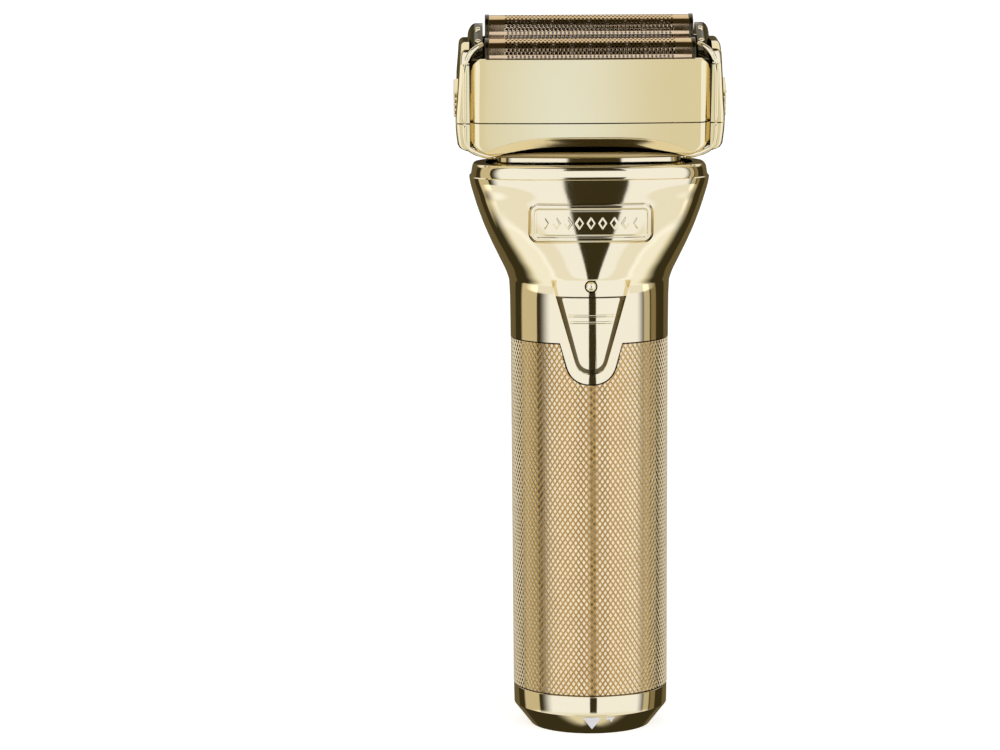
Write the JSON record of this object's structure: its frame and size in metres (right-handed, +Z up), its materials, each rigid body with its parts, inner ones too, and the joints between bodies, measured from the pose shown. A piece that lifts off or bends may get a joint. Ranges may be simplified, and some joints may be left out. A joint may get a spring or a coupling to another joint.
{
  "type": "foil shaver",
  "caption": "Cordless double-foil shaver: knurled round handle, flared neck, tilted head with floating foils, lift-off cassette and twist-out battery pack.",
  "frame": {"origin": "centre of the flat lower end of the handle, on which the shaver stands", "axes": "+Z up the handle towards the foils; -Y is the front, with the switch and the badge; +X is the right side seen from the front"},
  "size_m": [0.062, 0.041, 0.1649],
  "materials": {
    "gold_chrome": "champagne-gold mirror plating on moulded shells",
    "knurled_gold": "gold anodised aluminium with diamond knurling",
    "gold_foil": "thin perforated gold-coated foil",
    "steel": "plain satin steel",
    "contact_copper": "bright copper alloy",
    "black_plastic": "black moulded plastic",
    "gloss_black": "glossy black moulded plastic",
    "black_rubber": "soft black rubber",
    "cell_wrap": "blue shrink wrap over a metal cell",
    "circuit_green": "green solder-masked board",
    "led_clear": "clear domed light lens"
  },
  "bodies": {
    "handle": {"lower_ring": "gold_chrome", "grip_sleeve": "knurled_gold", "upper_housing": "gold_chrome", "name_badge": "gold_chrome", "led_lens": "led_clear", "battery_tube": "black_plastic", "ring_contact": "contact_copper", "center_contact": "contact_copper", "circuit_board": "circuit_green", "slide_switch": "black_plastic", "driver_chip": "black_plastic", "motor_can": "steel", "motor_end_cap": "black_plastic", "motor_cushion": "black_rubber", "motor_chassis": "black_plastic", "head_neck": "gold_chrome", "neck_gasket": "black_rubber", "head_base": "gold_chrome", "drive_deck": "black_plastic", "hair_seal_front": "black_rubber", "hair_seal_rear": "black_rubber", "deck_screw_1": "steel", "deck_screw_2": "steel", "deck_screw_3": "steel", "deck_screw_4": "steel"},
    "power_switch": {"switch_slider": "gold_chrome"},
    "battery_pack": {"battery_sleeve": "black_plastic", "battery_cell": "cell_wrap", "ring_terminal": "steel", "center_terminal": "steel"},
    "battery_lock": {"battery_cap": "gold_chrome", "cap_o_ring": "black_rubber"},
    "rotor": {"motor_shaft": "steel", "eccentric_cam": "contact_copper"},
    "oscillator_front": {"drive_arm_front": "black_plastic", "cutter_spring_front": "steel"},
    "oscillator_rear": {"drive_arm_rear": "black_plastic", "cutter_spring_rear": "steel"},
    "cutter_front": {"cutter_carrier_front": "black_plastic", "cutter_blades_front": "steel"},
    "cutter_rear": {"cutter_carrier_rear": "black_plastic", "cutter_blades_rear": "steel"},
    "cassette": {"foil_cassette": "gold_chrome", "cassette_inner_frame": "black_plastic", "end_block_left": "gloss_black", "end_block_right": "gloss_black", "foil_spring_front_left": "steel", "foil_spring_front_right": "steel", "foil_spring_rear_left": "steel", "foil_spring_rear_right": "steel", "button_spring_left": "steel", "button_spring_right": "steel"},
    "foil_unit_front": {"foil_front": "gold_foil", "foil_end_front_left": "gloss_black", "foil_end_front_right": "gloss_black"},
    "foil_unit_rear": {"foil_rear": "gold_foil", "foil_end_rear_left": "gloss_black", "foil_end_rear_right": "gloss_black"},
    "button_left": {"release_button_left": "gold_chrome"},
    "button_right": {"release_button_right": "gold_chrome"}
  },
  "joints": [
    {"name": "power_switch_slide", "type": "slide", "parent": "handle", "child": "power_switch", "axis": [0, 0, 1], "range_m": [0, 0.0013]},
    {"name": "battery_slide", "type": "slide", "parent": "handle", "child": "battery_pack", "axis": [0, 0, -1], "range_m": [0, 0.085]},
    {"name": "battery_cap_twist", "type": "hinge", "parent": "battery_pack", "child": "battery_lock", "pos_m": [0, 0, 0], "axis": [0, 0, 1], "range_deg": [-45, 0]},
    {"name": "rotor_spin", "type": "hinge", "parent": "handle", "child": "rotor", "pos_m": [0, 0, 0.1], "axis": [0, 0, 1], "continuous": true},
    {"name": "oscillator_front_slide", "type": "slide", "parent": "handle", "child": "oscillator_front", "axis": [1, 0, 0], "range_m": [-0.0012, 0.0012], "stiffness_N_per_m": 300},
    {"name": "oscillator_rear_slide", "type": "slide", "parent": "handle", "child": "oscillator_rear", "axis": [1, 0, 0], "range_m": [-0.0012, 0.0012], "stiffness_N_per_m": 300},
    {"name": "cassette_release", "type": "slide", "parent": "handle", "child": "cassette", "axis": [0, -0.4067, 0.9135], "range_m": [0, 0.024]},
    {"name": "foil_front_float", "type": "slide", "parent": "cassette", "child": "foil_unit_front", "axis": [0, -0.4067, 0.9135], "range_m": [-0.0015, 0], "stiffness_N_per_m": 500, "deforming": ["foil_spring_front_left", "foil_spring_front_right"]},
    {"name": "foil_rear_float", "type": "slide", "parent": "cassette", "child": "foil_unit_rear", "axis": [0, -0.4067, 0.9135], "range_m": [-0.0015, 0], "stiffness_N_per_m": 500, "deforming": ["foil_spring_rear_left", "foil_spring_rear_right"]},
    {"name": "cutter_front_float", "type": "slide", "parent": "oscillator_front", "child": "cutter_front", "axis": [0, -0.4067, 0.9135], "range_m": [-0.0015, 0], "stiffness_N_per_m": 300, "deforming": ["cutter_spring_front"]},
    {"name": "cutter_rear_float", "type": "slide", "parent": "oscillator_rear", "child": "cutter_rear", "axis": [0, -0.4067, 0.9135], "range_m": [-0.0015, 0], "stiffness_N_per_m": 300, "deforming": ["cutter_spring_rear"]},
    {"name": "button_left_press", "type": "slide", "parent": "cassette", "child": "button_left", "axis": [1, 0, 0], "range_m": [0, 0.0012], "stiffness_N_per_m": 600, "deforming": ["button_spring_left"]},
    {"name": "button_right_press", "type": "slide", "parent": "cassette", "child": "button_right", "axis": [-1, 0, 0], "range_m": [0, 0.0012], "stiffness_N_per_m": 600, "deforming": ["button_spring_right"]}
  ],
  "couplings": [
    {"joint": "oscillator_rear_slide", "follows": "oscillator_front_slide", "ratio": -1},
    {"joint": "cutter_front_float", "follows": "foil_front_float", "ratio": 1},
    {"joint": "cutter_rear_float", "follows": "foil_rear_float", "ratio": 1}
  ]
}
